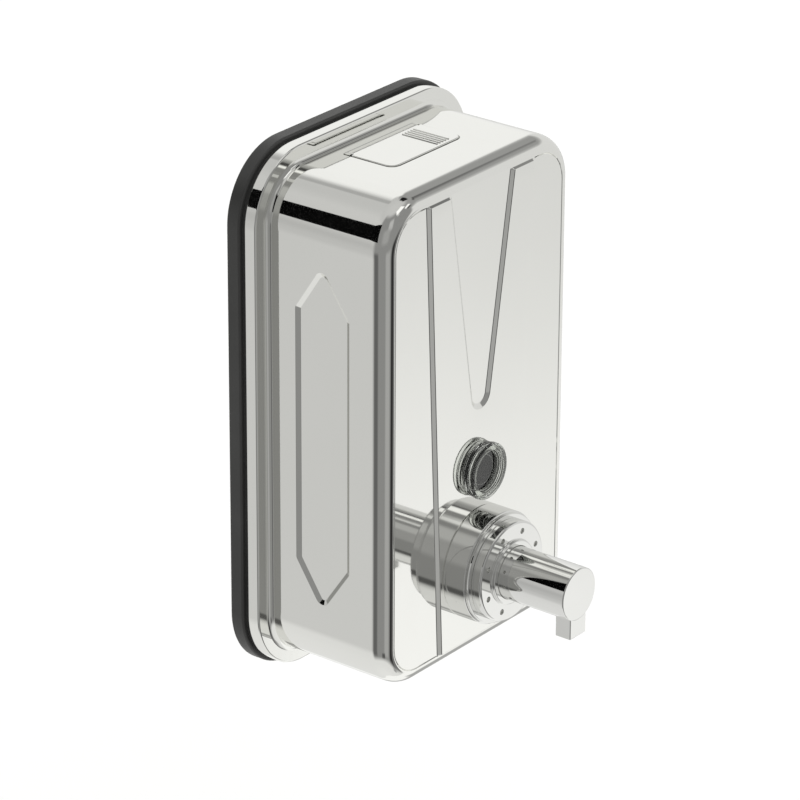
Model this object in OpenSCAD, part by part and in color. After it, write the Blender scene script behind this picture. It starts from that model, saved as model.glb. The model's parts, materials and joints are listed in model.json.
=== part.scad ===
// Wall mounted soap dispenser with a push valve, a level window and a hinged filler lid.
// The wall is the plane Y = 0 and the front faces -Y. The origin is the centre of the wall screws.
// A "depth" is a distance in front of the wall, so a depth of d lies at Y = -d.

/* [Case] */
// Width of the drawn case
case_w = 120; // [110:1:130]
// Height of the drawn case
case_h = 207.6; // [196:0.2:216]
// Depth from the wall to the flat front of the case
case_d = 70.8; // [70:0.1:74]
// Corner radius of the case, seen from the front
case_r = 21; // [16:0.5:24]
// Radius of the rolled edge round the front
roll_r = 5.7; // [4:0.1:6]
// Thickness of the steel sheet
sheet = 1.2; // [1:0.1:1.4]
// Height of the pressed-out fork on the front
panel_rise = 1.1; // [0.5:0.1:1.3]

/* [Flange and wall plate] */
// How far the flange stands out round the case
flange_w = 7.3; // [6.5:0.1:8]
// Depth of the front of the flange
flange_d = 13.2; // [13:0.1:14]
// Depth of the back edge of the flange
flange_back = 7.7; // [7.7:0.1:7.8]
// How far the wall plate stands out round the case
plate_w = 8.8; // [8.5:0.1:10]
// Thickness of the wall plate's edge
plate_t = 6.2; // [6:0.1:6.4]
// Distance between the wall screws across
screw_x = 80; // [70:1:84]
// Distance between the wall screws up and down
screw_z = 150; // [142:1:160]
// Radius of the wall screw holes
screw_r = 2.6; // [2.1:0.1:3]

/* [Lid] */
// Width of the filler lid
lid_w = 44.2; // [43:0.2:46]
// Depth of the filler lid, hinge barrel to front edge
lid_l = 22.7; // [22:0.1:23]
// Depth of the lid's hinge axis
hinge_d = 22.3; // [22.1:0.1:22.5]
// Number of grip ribs
rib_count = 5; // [4:1:5]

/* [Window] */
// Height of the level window's centre
window_z = -23.8; // [-28:0.2:-22]
// Radius of the window's rim
window_r = 11.9; // [10:0.05:12]
// How far the window stands out
window_out = 5.1; // [4:0.1:6]

/* [Push valve] */
// Height of the valve's axis
valve_z = -64.2; // [-66:0.2:-62]
// Radius of the collar
collar_r = 23.6; // [22:0.1:25]
// Radius of the face cap
cap_r = 20.9; // [19:0.1:21.5]
// Depth of the face cap's front
cap_d = 88.6; // [88.4:0.1:89]
// Radius of the nozzle
nozzle_r = 11; // [10.8:0.05:11]
// Depth of the nozzle's end
nozzle_end = 121.5; // [118:0.5:124]
// Push travel of the nozzle
travel = 14; // [10:0.5:14]

/* [Hidden] */
$fn = 72;
eps = 0.05;

steel = [0.78, 0.78, 0.75];
chrome = [0.84, 0.84, 0.83];
black = [0.13, 0.13, 0.13];
rubber = [0.2, 0.2, 0.2];
milky = [0.93, 0.94, 0.92];
grey_plastic = [0.55, 0.56, 0.57];

flange_edge_r = 1;
step_in = 2.2;
step_d = flange_back;
case_top = case_h / 2;
front_d = case_d + panel_rise;
emboss_t = 1.1;
emboss_d = [28.6, 40.8, 53];
emboss_z = [53.6, 71.3];
back_d = 9;
back_t = 1.2;
boss_x = case_w / 2 + 2.4;
boss_z = 60;
hook_x = 28;
hook_w = 8;
bracket_x = 10;
bracket_z = 62;
latch_x = [-20, 20];
latch_z = [106.6, 109.6];
latch_d = [6.5, 11.75];
leaf_h = 5.6;
pocket_d = 3.2;
lid_gap = 0.35;
lid_front = hinge_d + lid_l;
lid_t = 1.4;
lid_top = case_top + 0.5;
barrel_r = 1.5;
pin_r = 0.9;
hinge_z = lid_top - barrel_r;
barrel_x = 20.4;
mouth_x = 17;
mouth_d = [24.6, 40.4];
tank_w = 108;
tank_z = [-92, 84];
tank_d = [14.5, 62];
tank_t = 2;
bore_r = 8;
tube_r = 12.8;
tube_d = [26, 87];
gland_d = [64, 71.8];
piston_d = [55.5, 63.5];
stem_r = 4.5;
stem_end = 99;
seat_d = [20, 26, 32];
cage_d = 30;
spring_d = [26.1, 55.3];
spring_turns = 6;
spring_r = 6.2;
wire_r = 0.6;

// ---- Shared shapes ----

// A rounded rectangle in the plane, centred.
module rounded(w, h, r) {
    square([w - 2 * r, h], center = true);
    square([w, h - 2 * r], center = true);
    for (x = [-1, 1], y = [-1, 1])
        translate([x * (w / 2 - r), y * (h / 2 - r)]) circle(r);
}

// A shape drawn in X and Z, made solid between two depths.
module slab(d0, d1) {
    translate([0, -d0, 0]) rotate([90, 0, 0]) linear_extrude(d1 - d0) children();
}

// A rounded plate between two depths.
module plate(w, h, r, d0, d1) {
    slab(d0, d1) rounded(w, h, r);
}

// A cylinder along the depth.
module rod(r, d0, d1, x = 0, z = 0) {
    translate([x, -d0, z]) rotate([90, 0, 0]) cylinder(r = r, h = d1 - d0);
}

// A ring along the depth.
module ring(r_out, r_in, d0, d1, x = 0, z = 0) {
    difference() {
        rod(r_out, d0, d1, x, z);
        rod(r_in, d0 - 1, d1 + 1, x, z);
    }
}

// A profile of radius and depth, turned round an axis along the depth.
module turned(z) {
    translate([0, 0, z]) rotate([90, 0, 0]) rotate_extrude() children();
}

// A box given by its X limits, its depth limits and its Z limits.
module box(x, d, z) {
    translate([x[0], -d[1], z[0]]) cube([x[1] - x[0], d[1] - d[0], z[1] - z[0]]);
}

// A profile swept round the case. Its first axis is the distance out from the corner's centre.
module swept() {
    straight_z = case_h - 2 * case_r;
    straight_x = case_w - 2 * case_r;
    for (s = [0, 1]) mirror([s, 0, 0])
        translate([straight_x / 2, 0, straight_z / 2]) rotate([180, 0, 0])
            linear_extrude(straight_z) children();
    for (s = [0, 1]) mirror([0, 0, s]) rotate([0, -90, 0])
        translate([straight_z / 2, 0, straight_x / 2]) rotate([180, 0, 0])
            linear_extrude(straight_x) children();
    for (i = [0:3])
        translate([(i == 0 || i == 3 ? 1 : -1) * straight_x / 2, 0, (i < 2 ? 1 : -1) * straight_z / 2])
            rotate([90, 0, 0]) rotate([0, 0, 90 * i]) rotate_extrude(angle = 90) children();
}

// ---- Case ----

// Section of the case: flange, side wall, rolled edge and the start of the flat front.
module case_section() {
    rim = case_r + flange_w;
    roll_c = case_d - roll_r;
    translate([case_r - sheet, flange_d - sheet]) square([sheet, roll_c - flange_d + sheet]);
    translate([case_r - sheet, flange_d - sheet]) square([flange_w + sheet - flange_edge_r, sheet]);
    translate([rim - sheet, flange_back]) square([sheet, flange_d - flange_back - flange_edge_r]);
    intersection() {
        translate([rim - flange_edge_r, flange_d - flange_edge_r]) circle(flange_edge_r);
        translate([rim - flange_edge_r, flange_d - flange_edge_r]) square(flange_edge_r);
    }
    translate([rim - sheet, flange_d - sheet]) square([sheet - flange_edge_r + eps, sheet]);
    translate([0, case_d - sheet]) square([case_r - roll_r, sheet]);
    intersection() {
        difference() {
            translate([case_r - roll_r, roll_c]) circle(roll_r);
            translate([case_r - roll_r, roll_c]) circle(roll_r - sheet);
        }
        translate([case_r - roll_r, roll_c]) square(roll_r);
    }
}

// Outline of the pressed-out fork: a tall shape that narrows downwards, less the sunken tongue
// between its arms, which ends in a round tip.
module fork_outline() {
    tip_r = 5.3;
    difference() {
        polygon([[-33.9, 97.1], [33.9, 97.1], [24.7, -97.8], [-24.7, -97.8]]);
        polygon([[-19.8, case_h / 2], [-19.8, 97.1], [-tip_r, 9.4], [tip_r, 9.4], [19.8, 97.1],
                 [19.8, case_h / 2]]);
        translate([0, 8.5]) circle(tip_r);
    }
}

// Outline of the long six-sided emboss on each side, drawn in depth and height.
module emboss_outline(grow) {
    polygon([[emboss_d[0] - grow, emboss_z[0]], [emboss_d[1], emboss_z[1] + grow],
             [emboss_d[2] + grow, emboss_z[0]], [emboss_d[2] + grow, -emboss_z[0]],
             [emboss_d[1], -emboss_z[1] - grow], [emboss_d[0] - grow, -emboss_z[0]]]);
}

// The emboss outline made solid across X, from one X to another.
module emboss(x0, x1, grow) {
    translate([x0, 0, 0]) rotate([90, 0, -90]) mirror([0, 0, 1])
        linear_extrude(x1 - x0) emboss_outline(grow);
}

module front_shell() color(steel) {
    inner = case_w / 2 - sheet;
    difference() {
        union() {
            swept() case_section();
            box([case_r - case_w / 2, case_w / 2 - case_r], [case_d - sheet, case_d],
                [case_r - case_h / 2, case_h / 2 - case_r]);
            slab(case_d - sheet / 2, front_d) fork_outline();
            for (s = [0, 1]) mirror([s, 0, 0]) emboss(inner - emboss_t, inner + eps, sheet);
            for (x = [-1, 1], z = [-1, 1])
                rod(3, back_d + back_t, flange_d - sheet / 2, x * boss_x, z * boss_z);
        }
        for (s = [0, 1]) mirror([s, 0, 0])
            emboss(case_w / 2 - emboss_t, case_w / 2 + 1, 0);
        for (x = [-1, 1], z = [-1, 1]) rod(1.3, back_d, flange_d - 0.6, x * boss_x, z * boss_z);
        rod(tube_r + 0.3, case_d - 5, case_d + 5, 0, valve_z);
        rod(8.5, case_d - 5, case_d + 5, 0, window_z);
        box([-lid_w / 2 - lid_gap, lid_w / 2 + lid_gap], [hinge_d - 2, lid_front + lid_gap],
            [case_top - 5, case_top + 5]);
    }
}

// Sheet that closes the case from behind, with hook slots and a notch for the latch bar.
module back_plate() color(steel) {
    difference() {
        plate(case_w + 2 * flange_w - 3, case_h + 2 * flange_w - 3, case_r + flange_w - 1.5,
              back_d, back_d + back_t);
        box([latch_x[0] - 3, latch_x[1] + 3], [0, 20], [104.8, case_h]);
        for (x = [-1, 1]) {
            box([x * hook_x - hook_w / 2 - 0.5, x * hook_x + hook_w / 2 + 0.5], [0, 20], [45.3, 58.2]);
            for (z = [-1, 1]) rod(1.4, 0, 20, x * boss_x, z * boss_z);
        }
    }
}

module back_screws() color(chrome) {
    for (x = [-1, 1], z = [-1, 1]) {
        rod(2.6, back_d - 1.2, back_d, x * boss_x, z * boss_z);
        rod(1.25, back_d - eps, flange_d - 1, x * boss_x, z * boss_z);
    }
}

// ---- Wall plate, hanger and latch ----

module wall_plate() color(black) {
    w = case_w + 2 * plate_w;
    h = case_h + 2 * plate_w;
    r = case_r + plate_w;
    difference() {
        union() {
            difference() {
                union() {
                    plate(w, h, r, 0, plate_t);
                    plate(w - 2 * step_in, h - 2 * step_in, r - step_in, plate_t - eps, step_d);
                }
                plate(case_w + 2, case_h - 2, case_r + 1, pocket_d, step_d + 1);
            }
            for (x = [-1, 1], z = [-1, 1])
                rod(8, pocket_d - eps, step_d, x * screw_x / 2, z * screw_z / 2);
            box([-42, 42], [pocket_d - eps, step_d], [46, 68]);
        }
        for (x = [-1, 1], z = [-1, 1]) {
            rod(screw_r, -1, step_d + 1, x * screw_x / 2, z * screw_z / 2);
            rod(5, step_d - 2.2, step_d + 1, x * screw_x / 2, z * screw_z / 2);
        }
        box([latch_x[0] - 0.4, latch_x[1] + 0.4], [pocket_d, step_d + 1],
            [latch_z[0] - 0.4, latch_z[1] + 0.4]);
        for (x = [-1, 1]) rod(1.3, pocket_d + 1, step_d + 1, x * bracket_x, bracket_z);
    }
}

// Steel strip with two hooks turned up behind the back plate.
module hanger_bracket() color(chrome) {
    difference() {
        union() {
            box([-40, 40], [step_d, step_d + 1.2], [48, 66]);
            for (x = [-1, 1]) {
                box([x * hook_x - hook_w / 2, x * hook_x + hook_w / 2], [step_d, 12], [52, 57.9]);
                box([x * hook_x - hook_w / 2, x * hook_x + hook_w / 2], [10.6, 12], [52, 64]);
            }
        }
        for (x = [-1, 1]) {
            rod(1.3, 0, 20, x * bracket_x, bracket_z);
            rod(2.65, step_d + 0.5, 20, x * bracket_x, bracket_z);
        }
    }
}

// Flat-headed screws that hold the bracket on the wall plate.
module bracket_screws() color(chrome) {
    for (x = [-1, 1]) {
        rod(1.25, pocket_d + 1.4, step_d + 1, x * bracket_x, bracket_z);
        rod(2.6, step_d + 0.5, step_d + 1.2, x * bracket_x, bracket_z);
    }
}

// Sprung bar with a sloped front face, which the back plate's edge pushes back as the case lifts.
module latch_bar() color(milky) {
    slope = [back_d - 0.05, latch_z[0]];
    difference() {
        box(latch_x, latch_d, latch_z);
        box([latch_x[0] + 10, latch_x[1] - 10], [latch_d[0] - 1, pocket_d + leaf_h + 0.2],
            [latch_z[0] + 0.7, latch_z[1] - 0.7]);
        translate([latch_x[0] - 1, 0, 0]) rotate([90, 0, 90])
            linear_extrude(latch_x[1] - latch_x[0] + 2)
            polygon([[-slope[0], slope[1]], [-latch_d[1], latch_z[1] - 0.4],
                     [-latch_d[1] - 1, latch_z[1] - 0.4], [-latch_d[1] - 1, slope[1] - 1],
                     [-slope[0], slope[1] - 1]]);
    }
}

// Bowed leaf spring between the wall plate's pocket and the latch bar.
module latch_spring() color(chrome) {
    mid = (latch_x[0] + latch_x[1]) / 2;
    translate([mid, -pocket_d - 0.05, latch_z[0] + 0.8]) rotate([0, 0, 180]) linear_extrude(1.4)
        polygon([[-9, 0], [-4, 0], [0, leaf_h - 0.5], [4, 0], [9, 0], [9, 0.4], [4.3, 0.4],
                 [0.6, leaf_h], [-0.6, leaf_h], [-4.3, 0.4], [-9, 0.4]]);
}

// ---- Filler lid ----

// Frame under the top of the case, with the filler mouth, the lid's seat and the hinge ears.
module lid_frame() color(steel) {
    top = case_top - sheet;
    difference() {
        union() {
            box([-26, 26], [18, 47.5], [top - 1.6, top]);
            for (s = [-1, 1])
                box([s * 21.35 - 0.65, s * 21.35 + 0.65], [hinge_d - 1.3, hinge_d + 1.3],
                    [top - 1, hinge_z + 1.3]);
        }
        box([-mouth_x, mouth_x], mouth_d, [top - 5, top + 1]);
        box([-barrel_x - 0.3, barrel_x + 0.3], [hinge_d - 2, mouth_d[0] + eps], [top - 5, top + 1]);
        box([-19, 19], [lid_front - 1.9, lid_front - 0.6], [top - 5, top + 1]);
        translate([-30, -hinge_d, hinge_z]) rotate([0, 90, 0]) cylinder(r = pin_r + 0.01, h = 60);
    }
}

// Flat gasket round the filler mouth.
module lid_seal() color(rubber) {
    top = case_top - sheet;
    difference() {
        box([-mouth_x - 2.2, mouth_x + 2.2], [mouth_d[0], mouth_d[1] + 1.4], [top, top + 0.15]);
        box([-mouth_x, mouth_x], [mouth_d[0] - 1, mouth_d[1]], [top - 1, top + 1]);
    }
}

module hinge_pin() color(chrome) {
    translate([-22, -hinge_d, hinge_z]) rotate([0, 90, 0]) cylinder(r = pin_r, h = 44);
}

// Leaf catch behind the lid's front lip.
module lid_catch() color(chrome) {
    top = case_top - sheet;
    lip = lid_front - 2.2;
    box([-4, 4], [lip - 0.35, lip], [top - 5, top - 1.6]);
    box([-4, 4], [lip - 0.35, lip + 1.5], [top - 5.4, top - 5]);
}

// Lid with a rolled hinge barrel, a front lip, round front corners and grip ribs near one end.
module filler_lid() color(steel) {
    under = lid_top - lid_t;
    corner = 4;
    rib_w = 0.9;
    rib_step = 1.8;
    rib_x = 7.9;
    difference() {
        union() {
            translate([0, 0, under]) linear_extrude(lid_t) difference() {
                union() {
                    translate([-lid_w / 2, -lid_front + corner]) square([lid_w, lid_l - corner]);
                    translate([corner - lid_w / 2, -lid_front]) square([lid_w - 2 * corner, lid_l]);
                    for (s = [-1, 1])
                        translate([s * (lid_w / 2 - corner), -lid_front + corner]) circle(corner);
                }
                for (s = [-1, 1])
                    translate([s * 21.6 - 1.1, -hinge_d - 1.9]) square([2.2, 3]);
            }
            translate([-barrel_x, -hinge_d, hinge_z]) rotate([0, 90, 0])
                cylinder(r = barrel_r, h = 2 * barrel_x);
            box([-17, 17], [lid_front - 1.6, lid_front - 0.8], [under - 2.6, under + eps]);
            for (i = [0:rib_count - 1])
                translate([rib_x + i * rib_step, -lid_front + 1.8, lid_top - eps])
                    cube([rib_w, 17.6, 0.4]);
        }
        translate([-30, -hinge_d, hinge_z]) rotate([0, 90, 0]) cylinder(r = pin_r + 0.06, h = 60);
    }
}

// ---- Tank and window ----

module tank() color(milky) {
    mid = (tank_z[0] + tank_z[1]) / 2;
    high = tank_z[1] - tank_z[0];
    neck_top = case_top - sheet - 1.7;
    difference() {
        union() {
            translate([0, 0, mid]) plate(tank_w, high, 16, tank_d[0], tank_d[1]);
            box([-mouth_x - tank_t, mouth_x + tank_t], [mouth_d[0] - 1.4, mouth_d[1] + tank_t],
                [tank_z[1] - 1, neck_top]);
        }
        translate([0, 0, mid])
            plate(tank_w - 2 * tank_t, high - 2 * tank_t, 14, tank_d[0] + tank_t, tank_d[1] - tank_t);
        box([-mouth_x, mouth_x], mouth_d, [tank_z[1] - 5, neck_top + 1]);
        rod(tube_r + 0.2, 50, 70, 0, valve_z);
        rod(8.4, 50, 70, 0, window_z);
    }
}

// Clear lens: a stepped rim outside and a threaded tube that is closed by the lens disc.
module window_lens() color([0.6, 0.62, 0.6, 0.5]) {
    rim_front = front_d + window_out;
    difference() {
        union() {
            turned(window_z) polygon([[0, front_d + 0.1], [window_r - 0.5, front_d + 0.1],
                [window_r - 0.5, front_d + 2.2], [window_r, front_d + 2.6], [window_r, rim_front - 0.6],
                [window_r - 0.6, rim_front], [0, rim_front]]);
            rod(8.2, 54, front_d + 0.2, 0, window_z);
        }
        rod(8.3, rim_front - 1.5, rim_front + 1, 0, window_z);
        rod(6.4, 50, rim_front - 3.2, 0, window_z);
    }
}

module window_sleeve() color(rubber) ring(11, 8.3, tank_d[1], case_d - sheet, 0, window_z);
module window_gasket() color(rubber)
    ring(11, 8.3, tank_d[1] - tank_t - 1.4, tank_d[1] - tank_t, 0, window_z);
module window_nut() color(grey_plastic) {
    nut_d = tank_d[1] - tank_t - 1.4;
    difference() {
        translate([0, -nut_d + 3.8, window_z]) rotate([90, 0, 0])
            cylinder(r = 12, h = 3.8, $fn = 6);
        rod(8.25, nut_d - 5, nut_d + 1, 0, window_z);
    }
}

// ---- Push valve ----

// Pump cylinder: flange inside the tank, bore for the piston, pocket for the gland, open front.
module valve_body() color(grey_plastic) {
    difference() {
        union() {
            rod(tube_r, tube_d[0], tube_d[1], 0, valve_z);
            rod(17, 56, 58.4, 0, valve_z);
        }
        rod(bore_r, tube_d[0] - 1, gland_d[0] + 1, 0, valve_z);
        rod(9.5, gland_d[0], gland_d[1] + 1, 0, valve_z);
        rod(nozzle_r + 0.3, gland_d[1], tube_d[1] + 1, 0, valve_z);
    }
}

module valve_gasket() color(rubber) ring(17, tube_r, 58.4, tank_d[1] - tank_t, 0, valve_z);

module valve_nut() color(grey_plastic) {
    difference() {
        translate([0, -tank_d[1], valve_z]) rotate([90, 0, 0]) cylinder(r = 19, h = 5, $fn = 6);
        rod(tube_r, tank_d[1] - 1, tank_d[1] + 6, 0, valve_z);
    }
}

// Bush in the cylinder's mouth, with a groove for the rod seal.
module rod_gland() color(milky) {
    difference() {
        rod(9.45, gland_d[0], gland_d[1], 0, valve_z);
        rod(stem_r + 0.07, gland_d[0] - 1, gland_d[1] + 1, 0, valve_z);
        ring(6.6, stem_r - 1, 67, 69.2, 0, valve_z);
    }
}

module rod_seal() color(rubber) turned(valve_z) translate([stem_r + 1.06, 68.1]) circle(r = 1);

// Cap on the cylinder's inner end, with the inlet port, the ball's seat and a cage over the ball.
module inlet_seat() color(grey_plastic) {
    difference() {
        union() {
            ring(14.6, tube_r + 0.05, seat_d[1] - eps, seat_d[2], 0, valve_z);
            rod(14.6, seat_d[0], seat_d[1], 0, valve_z);
            rod(5.2, seat_d[1] - eps, cage_d, 0, valve_z);
        }
        rod(2.5, seat_d[0] - 1, seat_d[1], 0, valve_z);
        rod(3.6, seat_d[0] + 2.5, cage_d + 1, 0, valve_z);
    }
    box([-4.4, 4.4], [cage_d - 1, cage_d], [valve_z - 0.6, valve_z + 0.6]);
}

module inlet_ball() color(chrome)
    translate([0, -seat_d[0] - 2.5 - 1.75, valve_z]) sphere(r = 3);

// Chromed spacer between the case and the face cap.
module collar() color(chrome) {
    turned(valve_z) polygon([[tube_r + 0.1, front_d], [collar_r - 0.3, front_d],
        [collar_r, front_d + 0.3], [collar_r, 81.8], [collar_r - 0.8, 82.6], [tube_r + 0.1, 82.6]]);
}

// Thin ring with a round bead at the front of the collar.
module bead_ring() color(chrome) {
    turned(valve_z) {
        translate([tube_r + 1, 82.6]) square([collar_r - tube_r - 2.4, 1.4]);
        translate([collar_r - 1.4, 83.3]) circle(r = 0.7);
    }
}

// Cap screwed on the cylinder, with pin-wrench holes and a hub that guides the nozzle.
module face_cap() color(chrome) {
    hole_count = 8;
    difference() {
        turned(valve_z) polygon([[nozzle_r + 0.08, 84], [cap_r - 0.2, 84], [cap_r, 84.2],
            [cap_r, cap_d - 0.6], [cap_r - 0.6, cap_d], [13.4, cap_d], [13.4, cap_d + 0.9],
            [13, cap_d + 1.3], [nozzle_r + 0.08, cap_d + 1.3]]);
        rod(tube_r + 0.05, 80, tube_d[1], 0, valve_z);
        for (i = [0:hole_count - 1]) {
            a = (i + 0.5) * 360 / hole_count;
            rod(1.15, cap_d - 2, cap_d + 1, 16.8 * cos(a), valve_z + 16.8 * sin(a));
        }
    }
}

// Push button and nozzle in one casting, with a square spout under its end.
module nozzle() color(chrome) {
    rear = tube_d[1] - 0.5;
    spout_w = 10.4;
    spout_l = 7.4;
    spout_z = valve_z - 18.4;
    channel_d = nozzle_end - spout_l / 2;
    difference() {
        union() {
            turned(valve_z) polygon([[0, rear], [nozzle_r, rear], [nozzle_r, nozzle_end - 0.4],
                [nozzle_r - 0.4, nozzle_end], [0, nozzle_end]]);
            box([-spout_w / 2, spout_w / 2], [nozzle_end - spout_l, nozzle_end], [spout_z, valve_z]);
        }
        rod(stem_r + 0.02, rear - 1, stem_end + 0.5, 0, valve_z);
        rod(2.4, stem_end - 1, channel_d + 1, 0, valve_z);
        translate([0, -channel_d, spout_z - 1]) cylinder(r = 2.2, h = 19.4);
    }
}

// Hollow stem with the outlet ball's seat and cage in its inner end.
module plunger_stem() color(milky) {
    difference() {
        rod(stem_r, piston_d[0], stem_end, 0, valve_z);
        rod(1.8, piston_d[0] - 1, stem_end + 1, 0, valve_z);
        rod(2.8, piston_d[0] + 2, piston_d[0] + 8, 0, valve_z);
    }
}

module piston() color(grey_plastic) {
    difference() {
        ring(bore_r - 0.1, stem_r, piston_d[0], piston_d[1], 0, valve_z);
        ring(bore_r + 1, 5.9, piston_d[0] + 2.9, piston_d[0] + 5.1, 0, valve_z);
    }
}

module piston_seal() color(rubber)
    turned(valve_z) translate([6.95, piston_d[0] + 4]) circle(r = 1);

module outlet_ball() color(chrome)
    translate([0, -piston_d[0] - 2 - 1.64, valve_z]) sphere(r = 2.4);

// Coil spring between the inlet cap and the piston: rings of points along a helix.
module return_spring() color(chrome) {
    sides = 6;
    per_turn = 16;
    steps = spring_turns * per_turn;
    length = spring_d[1] - spring_d[0] - 2 * wire_r;
    points = [for (i = [0:steps], j = [0:sides - 1])
        let (a = 360 * i / per_turn, b = 360 * j / sides, r = spring_r + wire_r * cos(b))
        [r * cos(a), -spring_d[0] - wire_r - length * i / steps - wire_r * sin(b),
         valve_z + r * sin(a)]];
    quads = [for (i = [0:steps - 1], j = [0:sides - 1])
        let (k = (j + 1) % sides)
        [i * sides + j, i * sides + k, (i + 1) * sides + k, (i + 1) * sides + j]];
    ends = [[for (j = [0:sides - 1]) sides - 1 - j], [for (j = [0:sides - 1]) steps * sides + j]];
    polyhedron(points = points, faces = concat(quads, ends));
}

wall_plate();
hanger_bracket();
bracket_screws();
latch_bar();
latch_spring();
front_shell();
back_plate();
back_screws();
lid_frame();
lid_seal();
hinge_pin();
lid_catch();
filler_lid();
tank();
window_lens();
window_sleeve();
window_gasket();
window_nut();
valve_body();
valve_gasket();
valve_nut();
rod_gland();
rod_seal();
inlet_seat();
inlet_ball();
collar();
bead_ring();
face_cap();
nozzle();
plunger_stem();
piston();
piston_seal();
outlet_ball();
return_spring();
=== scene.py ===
import json
import math

import bpy
import numpy as np
from mathutils import Matrix, Vector, geometry


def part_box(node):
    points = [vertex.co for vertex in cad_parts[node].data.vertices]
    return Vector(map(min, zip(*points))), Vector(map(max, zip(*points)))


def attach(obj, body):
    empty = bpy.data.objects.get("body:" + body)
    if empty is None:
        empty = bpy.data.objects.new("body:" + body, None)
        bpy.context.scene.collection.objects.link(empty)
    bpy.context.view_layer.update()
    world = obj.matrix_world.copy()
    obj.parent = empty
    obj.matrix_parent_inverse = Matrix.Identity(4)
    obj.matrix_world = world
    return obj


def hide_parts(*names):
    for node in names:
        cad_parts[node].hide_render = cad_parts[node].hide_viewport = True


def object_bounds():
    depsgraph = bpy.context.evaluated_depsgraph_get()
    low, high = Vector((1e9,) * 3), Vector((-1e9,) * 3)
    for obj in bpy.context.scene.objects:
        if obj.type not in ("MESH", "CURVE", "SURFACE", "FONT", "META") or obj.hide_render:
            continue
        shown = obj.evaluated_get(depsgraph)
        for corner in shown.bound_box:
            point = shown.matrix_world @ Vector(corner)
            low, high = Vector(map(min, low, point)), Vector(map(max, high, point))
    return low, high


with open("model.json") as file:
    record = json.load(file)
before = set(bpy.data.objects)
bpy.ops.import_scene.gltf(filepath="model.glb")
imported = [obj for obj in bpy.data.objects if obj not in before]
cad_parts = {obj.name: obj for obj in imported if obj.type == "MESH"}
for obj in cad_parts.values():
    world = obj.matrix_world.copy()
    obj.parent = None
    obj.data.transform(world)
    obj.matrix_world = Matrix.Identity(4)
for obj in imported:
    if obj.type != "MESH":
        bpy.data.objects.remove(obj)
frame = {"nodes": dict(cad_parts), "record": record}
CAD_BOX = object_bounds()

MM = 0.001


# ---------------------------------------------------------------- sizes, from the CAD boxes
def mm_box(node):
    """A CAD node's limits in millimetres, as x, depth and z pairs."""
    lo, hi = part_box(node)
    return (
        (lo.x / MM, hi.x / MM),
        (-hi.y / MM, -lo.y / MM),
        (lo.z / MM, hi.z / MM),
    )


# the case: its sheet, flange, corners and rolled front edge, and the depth where its walls begin
SHEET = 1.2
FLANGE_W, FLANGE_RISE, FLANGE_FOOT = 7.3, 5.5, 2.4
RIM_EDGE = 0.85
CORNER_R, CORNER_STEPS = 21.0, 22
ROLL_ACROSS, ROLL_ALONG = 6.0, 7.8
WALL_D = 16

SHELL_X, SHELL_D, SHELL_Z = mm_box("front_shell")
HALF_W = SHELL_X[1] - FLANGE_W
HALF_H = SHELL_Z[1] - FLANGE_W
FRONT_D = SHELL_D[1]
FORK_RISE = 1.1
FLAT_D = FRONT_D - FORK_RISE
ROLL_D = FLAT_D - ROLL_ALONG
FLANGE_BACK = SHELL_D[0]
FLANGE_D = FLANGE_BACK + FLANGE_RISE

PLATE_X, PLATE_D, PLATE_Z = mm_box("wall_plate")
LID_X, LID_D, LID_Z = mm_box("filler_lid")
WINDOW_X, WINDOW_D, WINDOW_Z = mm_box("window_lens")
COLLAR_X, COLLAR_D, COLLAR_Z = mm_box("collar")
CAP_X, CAP_D, _ = mm_box("face_cap")
NOZZLE_X, NOZZLE_D, NOZZLE_Z = mm_box("nozzle")

VALVE_Z = (COLLAR_Z[0] + COLLAR_Z[1]) / 2
LENS_Z = (WINDOW_Z[0] + WINDOW_Z[1]) / 2


# ---------------------------------------------------------------- mesh building
class Frame:
    """Turns local a, b, c, in millimetres, into row coordinates in metres."""

    def __init__(self, origin, a, b, c):
        self.origin = np.array(origin, float)
        self.axes = np.array([a, b, c], float)

    def points(self, p):
        return (self.origin + np.asarray(p, float) @ self.axes) * MM

    def normals(self, n):
        n = np.asarray(n, float) @ self.axes
        return n / np.maximum(np.linalg.norm(n, axis=1, keepdims=True), 1e-12)


def facing(x=0, z=0):
    """A frame whose a and b are X and Z and whose c is the depth from the wall."""
    return Frame((x, 0, z), (1, 0, 0), (0, 0, 1), (0, -1, 0))


def from_above(depth=0, z=0, down=False):
    """A frame whose a is X, whose b is the depth, and whose c is the height or the drop below it."""
    return Frame((0, -depth, z), (1, 0, 0), (0, -1, 0), (0, 0, -1 if down else 1))


FACING = facing()


# metres and square metres below which two points are one and a face is left out
SAME_POINT, NO_AREA = 1e-7, 1e-13


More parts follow.
